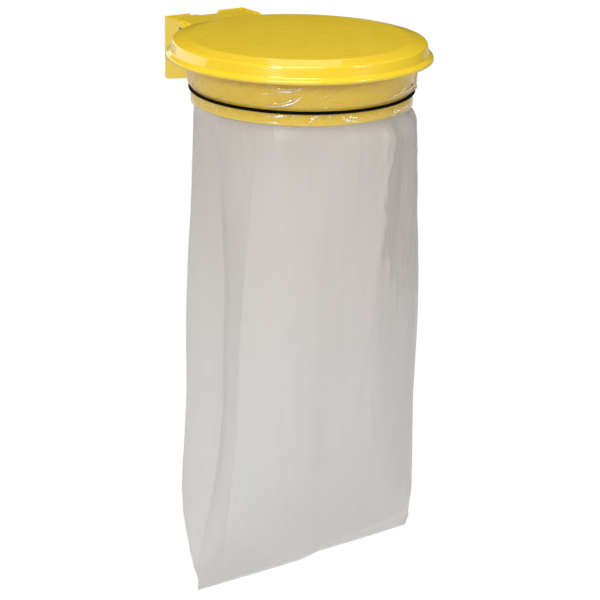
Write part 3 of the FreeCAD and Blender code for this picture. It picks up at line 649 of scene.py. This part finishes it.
def highlight_crest_strips():
    """Points and quads of the strongest wrinkles' doubled crests: slim raised strips on the film, whitened
    as painted highlight.
    """
    across = np.linspace(-1.0, 1.0, 5)
    grids, quads, start = [], [], 0
    for run, height, width, crest_highlight in CUFF_RUNS:
        if not crest_highlight:
            continue
        curve = smooth_run(run)
        along = np.gradient(curve, axis=0)
        along /= np.linalg.norm(along, axis=1)[:, None]
        side = np.stack([-along[:, 1], along[:, 0]], 1)
        taper = np.sin(math.pi * np.linspace(0.02, 0.98, len(curve)) ** 1.4) ** 0.8 * crest_highlight
        spread = across[None] * (0.72 * width * taper)[:, None]
        flat = curve[:, None, :] + side[:, None, :] * spread[..., None]
        rise = 0.00045 * height * taper[:, None] * (1 - across ** 2) - 0.0001 * np.abs(across)
        grids.append(np.concatenate([flat, rise[..., None]], 2).reshape(-1, 3))
        index = np.arange(flat[..., 0].size).reshape(flat.shape[:2]) + start
        corners = [index[:-1, :-1], index[:-1, 1:], index[1:, 1:], index[1:, :-1]]
        quads.append(np.stack(corners, -1).reshape(-1, 4))
        start += flat[..., 0].size
    around, level, rise = np.concatenate(grids).T
    angle = around / (BAND_RADIUS * 1000) + FACING_ANGLE
    level = level / 1000
    radius = BAND_RADIUS + CURL_GAP + cuff_relief(angle, level) + rise
    points = np.stack([radius * np.cos(angle) + BAND_CENTRE[0],
                       radius * np.sin(angle) + BAND_CENTRE[1], level], 1)
    return points, np.concatenate(quads)


def build_bag():
    """The film bag as one skin, with the cuff's sharpest crests on it in a whiter, glossier material whose
    white is partly painted highlight.
    """
    angle, rows = cuff_rows()
    hang = hanging_rows(angle)
    points = np.concatenate(rows + hang)
    points[:, 0] += BAND_CENTRE[0]
    points[:, 1] += BAND_CENTRE[1]
    points, doubling_and_shade = crumple(points)
    count = len(rows) + len(hang)
    skin = grid_quads(count)
    highlight_crests, strips = highlight_crest_strips()
    mesh = bpy.data.meshes.new("refuse_bag_film")
    mesh.from_pydata(points.tolist() + highlight_crests.tolist(), [], skin.tolist() + (strips + len(points)).tolist())
    mesh.polygons.foreach_set("use_smooth", np.ones(len(mesh.polygons), dtype=bool))
    mesh.materials.append(MATERIALS["film"])
    mesh.materials.append(MATERIALS["crest_highlight"])
    mesh.polygons.foreach_set("material_index", np.repeat([0, 1], [len(skin), len(strips)]))
    layers = mesh.attributes.new("doubling_and_shade", "FLOAT", "POINT")
    layers.data.foreach_set("value", np.concatenate([doubling_and_shade, np.zeros(len(highlight_crests))]))
    mesh.update()
    bag = bpy.data.objects.new("refuse_bag_film", mesh)
    bpy.context.scene.collection.objects.link(bag)
    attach(bag, "holder")
    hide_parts("refuse_bag")
    return bag


# The lid. Outer profile of the pressing from its middle to the edge of its flared lip: radius,
# level and corner rounding in millimetres
LID_PROFILE = [
    (0.0, 32.0, 0.0), (110.0, 31.6, 200.0), (176.0, 30.6, 25.0), (202.9, 25.3, 4.2), (206.5, 8.8, 2.6),
    (212.9, 4.4, 2.4), (214.0, 0.0, 0.0)]
LID_SHEET = 1.2
LID_COLUMNS = 256


def rounded_profile(corners, steps=9):
    """A profile with its corners rounded by arcs (quadratic blends of the right reach)."""
    points = [np.array(corners[0][:2])]
    for before, corner, after in zip(corners, corners[1:], corners[2:]):
        here = np.array(corner[:2])
        back, ahead = np.array(before[:2]) - here, np.array(after[:2]) - here
        near, far = np.linalg.norm(back), np.linalg.norm(ahead)
        bend = math.pi - math.acos(np.clip(back @ ahead / near / far, -1, 1))
        reach = min(corner[2] * math.tan(bend / 2), 0.48 * near, 0.48 * far)
        start, end = here + back / near * reach, here + ahead / far * reach
        for share in np.linspace(0, 1, steps):
            points.append((1 - share) ** 2 * start + 2 * share * (1 - share) * here + share ** 2 * end)
    points.append(np.array(corners[-1][:2]))
    return np.array(points)


def build_lid():
    """The pressed lid as seen: domed crown, bevel, slightly flared skirt and a thin lip drawn outward."""
    outer = rounded_profile(LID_PROFILE)
    along = np.gradient(outer, axis=0)
    along /= np.linalg.norm(along, axis=1)[:, None]
    inner = outer - LID_SHEET * np.stack([-along[:, 1], along[:, 0]], 1)
    inner[0, 0] = 0.0
    inner[-1] = outer[-1] - np.array([LID_SHEET, 0.0])
    profile = np.concatenate([outer[1:], inner[:0:-1]]) / 1000
    turn = np.linspace(0, 2 * math.pi, LID_COLUMNS, endpoint=False)
    rows = np.stack([profile[:, :1] * np.cos(turn) + LID_CENTRE.x,
                     profile[:, :1] * np.sin(turn) + LID_CENTRE.y,
                     np.repeat(profile[:, 1:], LID_COLUMNS, 1)], -1)
    index = np.arange(rows[..., 0].size).reshape(rows.shape[:2])
    following = np.roll(index, -1, axis=1)
    quads = np.stack([index[:-1], index[1:], following[1:], following[:-1]], -1).reshape(-1, 4)
    points = rows.reshape(-1, 3).tolist()
    top, under = len(points), len(points) + 1
    points += [(LID_CENTRE.x, LID_CENTRE.y, side[0, 1] / 1000) for side in (outer, inner)]
    fans = [(top, first, second) for first, second in zip(index[0].tolist(), following[0].tolist())]
    fans += [(under, second, first) for first, second in zip(index[-1].tolist(), following[-1].tolist())]
    mesh = bpy.data.meshes.new("lid_pressing")
    mesh.from_pydata(points, [], quads.tolist() + fans)
    mesh.polygons.foreach_set("use_smooth", np.ones(len(mesh.polygons), dtype=bool))
    mesh.materials.append(MATERIALS["yellow"])
    mesh.update()
    lid = bpy.data.objects.new("lid_pressing", mesh)
    bpy.context.scene.collection.objects.link(lid)
    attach(lid, "lid")
    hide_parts("lid_shell")
    return lid


# Stage, light and camera
FLOOR_SIZE = 40.0
FLOOR_LEVEL = -1.45
LIT_CENTRE = (0.0, -0.29, -0.30)


def build_stage():
    """A pale matt floor that the camera sees as plain white."""
    bpy.ops.mesh.primitive_plane_add(size=FLOOR_SIZE, location=(0.0, 0.0, FLOOR_LEVEL))
    floor = bpy.context.object
    floor.name = "floor"
    mat = bpy.data.materials.new("pale_floor")
    mat.use_nodes = True
    nodes, links = mat.node_tree.nodes, mat.node_tree.links
    shader = nodes["Principled BSDF"]
    shader.inputs["Base Color"].default_value = (0.86, 0.86, 0.86, 1.0)
    shader.inputs["Roughness"].default_value = 0.9
    glow = nodes.new("ShaderNodeEmission")
    rays = nodes.new("ShaderNodeLightPath")
    mix = nodes.new("ShaderNodeMixShader")
    links.new(rays.outputs["Is Camera Ray"], mix.inputs["Fac"])
    links.new(shader.outputs["BSDF"], mix.inputs[1])
    links.new(glow.outputs["Emission"], mix.inputs[2])
    links.new(mix.outputs["Shader"], nodes["Material Output"].inputs["Surface"])
    floor.data.materials.append(mat)


def build_world():
    """Even soft light, dim in reflections, and plain white to the camera and through film."""
    world = bpy.data.worlds.new("studio")
    bpy.context.scene.world = world
    world.use_nodes = True
    nodes, links = world.node_tree.nodes, world.node_tree.links
    back = nodes["Background"]
    back.inputs["Color"].default_value = (1.0, 1.0, 1.0, 1.0)
    rays = nodes.new("ShaderNodeLightPath")
    dim = remap(nodes, links, rays.outputs["Is Glossy Ray"], 0.0, 1.0, 0.60, 0.02, smooth=False)
    seen = math_node(nodes, links, "MAXIMUM", rays.outputs["Is Camera Ray"],
                     rays.outputs["Is Transmission Ray"])
    links.new(math_node(nodes, links, "MAXIMUM", dim, seen), back.inputs["Strength"])


def add_softbox(name, place, target, size, power, height=None):
    """A rectangular lamp aimed at a target."""
    data = bpy.data.lights.new(name, "AREA")
    data.shape = "RECTANGLE"
    data.size = size
    data.size_y = height or size
    data.energy = power
    lamp = bpy.data.objects.new(name, data)
    lamp.location = place
    lamp.rotation_euler = (Vector(target) - Vector(place)).to_track_quat("-Z", "Y").to_euler()
    bpy.context.scene.collection.objects.link(lamp)


def build_lights():
    """Soft lamps on all sides, placed for the highlights on the lid, bracket and cuff."""
    add_softbox("key", (-2.4, -1.9, 1.20), LIT_CENTRE, 0.5, 25.0, 0.6)
    add_softbox("front", (-1.6, -3.0, 1.15), LIT_CENTRE, 1.3, 5.0, 0.3)
    add_softbox("fill", (1.1, -3.1, 1.10), LIT_CENTRE, 0.8, 12.0, 0.35)
    add_softbox("side", (-1.12, 2.55, 0.35), LIT_CENTRE, 4.4, 22.0, 1.1)
    add_softbox("overhead", (-0.6, -1.0, 2.2), LIT_CENTRE, 1.2, 38.0)
    add_softbox("rear", (1.3, 1.5, 1.7), (0.0, -0.29, 0.0), 0.5, 0.9, 0.8)


def build_camera():
    """Camera fitted to the photograph: the lid's centre sits at this image point at this distance.

    The image size, the focal length and the point are in pixels.
    """
    turn, tilt, roll = VIEW_SIDE, math.radians(19.53), math.radians(1.18)
    image_size, focal, distance, lid_pixel = 600.0, 1933.0, 3.082, (299.6, 54.6)
    across, down = (coordinate - image_size / 2 for coordinate in lid_pixel)
    back = Vector((math.sin(turn) * math.cos(tilt), -math.cos(turn) * math.cos(tilt), math.sin(tilt)))
    level = Vector((math.cos(turn), math.sin(turn), 0.0))
    rise = back.cross(level)
    right = math.cos(roll) * level + math.sin(roll) * rise
    up = math.cos(roll) * rise - math.sin(roll) * level
    place = LID_CENTRE + distance * (back - across / focal * right + down / focal * up)
    data = bpy.data.cameras.new("camera")
    data.sensor_width = 36.0
    data.lens = focal * data.sensor_width / image_size
    camera = bpy.data.objects.new("camera", data)
    camera.matrix_world = Matrix.Translation(place) @ Matrix((right, up, back)).transposed().to_4x4()
    bpy.context.scene.collection.objects.link(camera)
    bpy.context.scene.camera = camera


bpy.context.scene.view_settings.view_transform = "Standard"
build_bag()
build_lid()
build_stage()
build_world()
build_lights()
build_camera()
